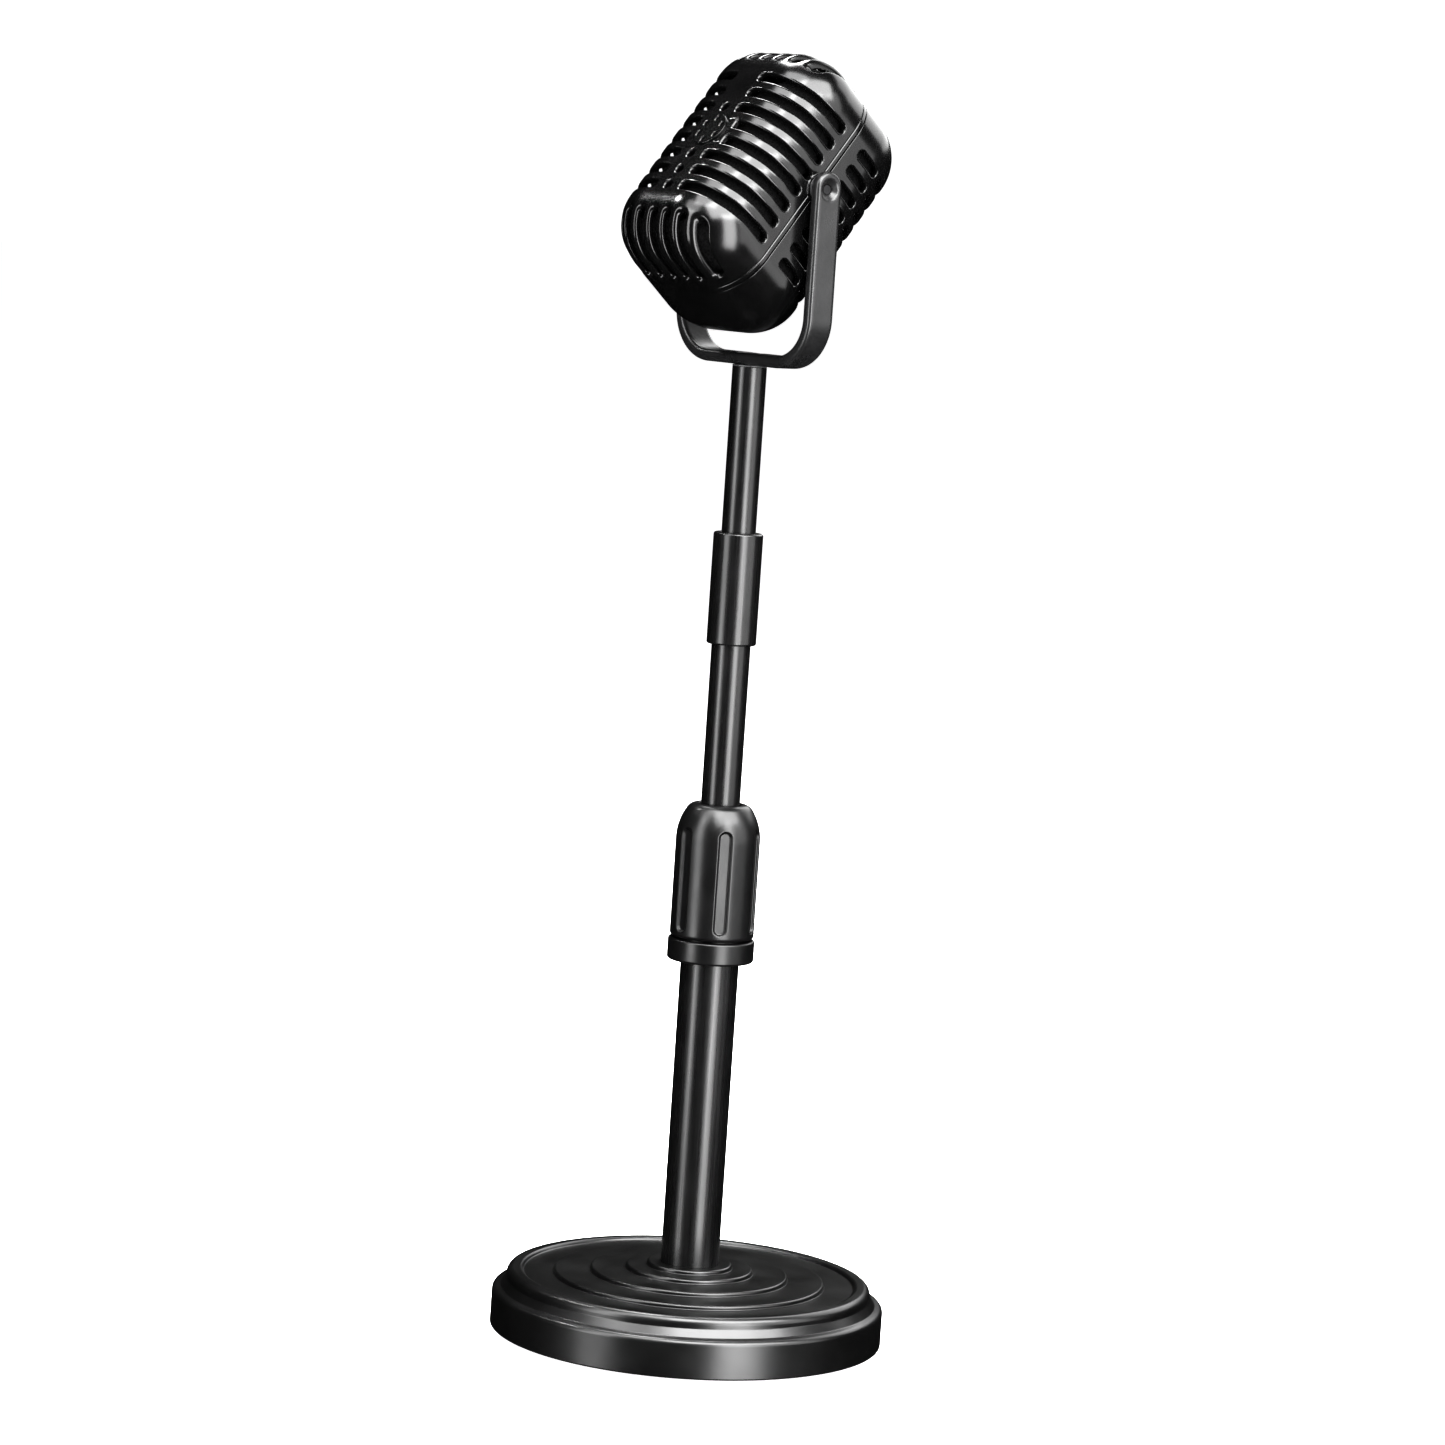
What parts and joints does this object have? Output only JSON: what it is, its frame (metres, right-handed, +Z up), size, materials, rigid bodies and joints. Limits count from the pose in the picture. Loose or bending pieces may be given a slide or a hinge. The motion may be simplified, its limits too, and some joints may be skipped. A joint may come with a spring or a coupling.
{
  "type": "toy microphone",
  "caption": "Toy microphone: slotted pill-shaped head tilting in a U-shaped yoke, on a telescopic stem with a twist clutch and a round weighted base.",
  "frame": {"origin": "middle of the base's underside, on the surface that it stands on", "axes": "+Z up along the stem; +X along the head's pivot axis; the front of the head faces -Y when it is upright"},
  "size_m": [0.12, 0.12, 0.3905],
  "materials": {
    "gloss_black": "glossy moulded black plastic",
    "badge_black": "satin black plastic plate",
    "clutch_plastic": "satin moulded black plastic",
    "base_plastic": "satin moulded black plastic",
    "black_tube": "satin black lacquer on steel tube",
    "dark_screw": "blackened steel",
    "fastener_steel": "zinc-plated steel",
    "weight_steel": "raw steel disc",
    "hidden_plastic": "dark moulded plastic",
    "rubber_pads": "soft matte rubber",
    "foam": "open-cell black foam"
  },
  "bodies": {
    "base": {"base_shell": "base_plastic", "base_weight": "weight_steel", "base_bottom_plate": "hidden_plastic", "anti_slip_pads": "rubber_pads", "base_screws": "fastener_steel", "stem_washer": "fastener_steel", "stem_bolt": "fastener_steel", "stem_plug": "hidden_plastic", "lower_tube": "black_tube", "clutch_body": "clutch_plastic", "clutch_collet": "hidden_plastic"},
    "clutch": {"clutch_nut": "clutch_plastic"},
    "middle_stage": {"middle_tube": "black_tube", "middle_tube_bush": "hidden_plastic", "collar_sleeve": "black_tube", "collar_bush": "hidden_plastic"},
    "upper_stage": {"upper_tube": "black_tube", "upper_tube_bush": "hidden_plastic", "yoke_plug": "fastener_steel", "yoke_washer": "hidden_plastic", "yoke_screw": "dark_screw"},
    "yoke_arm": {"yoke": "gloss_black"},
    "head": {"head_front_shell": "gloss_black", "head_rear_shell": "gloss_black", "badge_plate": "badge_black", "foam_insert": "foam", "pivot_pins": "dark_screw", "pivot_washers": "hidden_plastic", "shell_screws": "dark_screw"}
  },
  "joints": [
    {"name": "clutch_turn", "type": "hinge", "parent": "base", "child": "clutch", "pos_m": [0, 0, 0.14], "axis": [0, 0, 1], "range_deg": [0, 180]},
    {"name": "middle_slide", "type": "slide", "parent": "base", "child": "middle_stage", "axis": [0, 0, 1], "range_m": [-0.048, 0.03]},
    {"name": "upper_slide", "type": "slide", "parent": "middle_stage", "child": "upper_stage", "axis": [0, 0, 1], "range_m": [-0.049, 0.03]},
    {"name": "yoke_swivel", "type": "hinge", "parent": "upper_stage", "child": "yoke_arm", "pos_m": [0, 0, 0.2974], "axis": [0, 0, 1], "continuous": true},
    {"name": "head_tilt", "type": "hinge", "parent": "yoke_arm", "child": "head", "pos_m": [0, 0, 0.351], "axis": [1, 0, 0], "continuous": true}
  ]
}
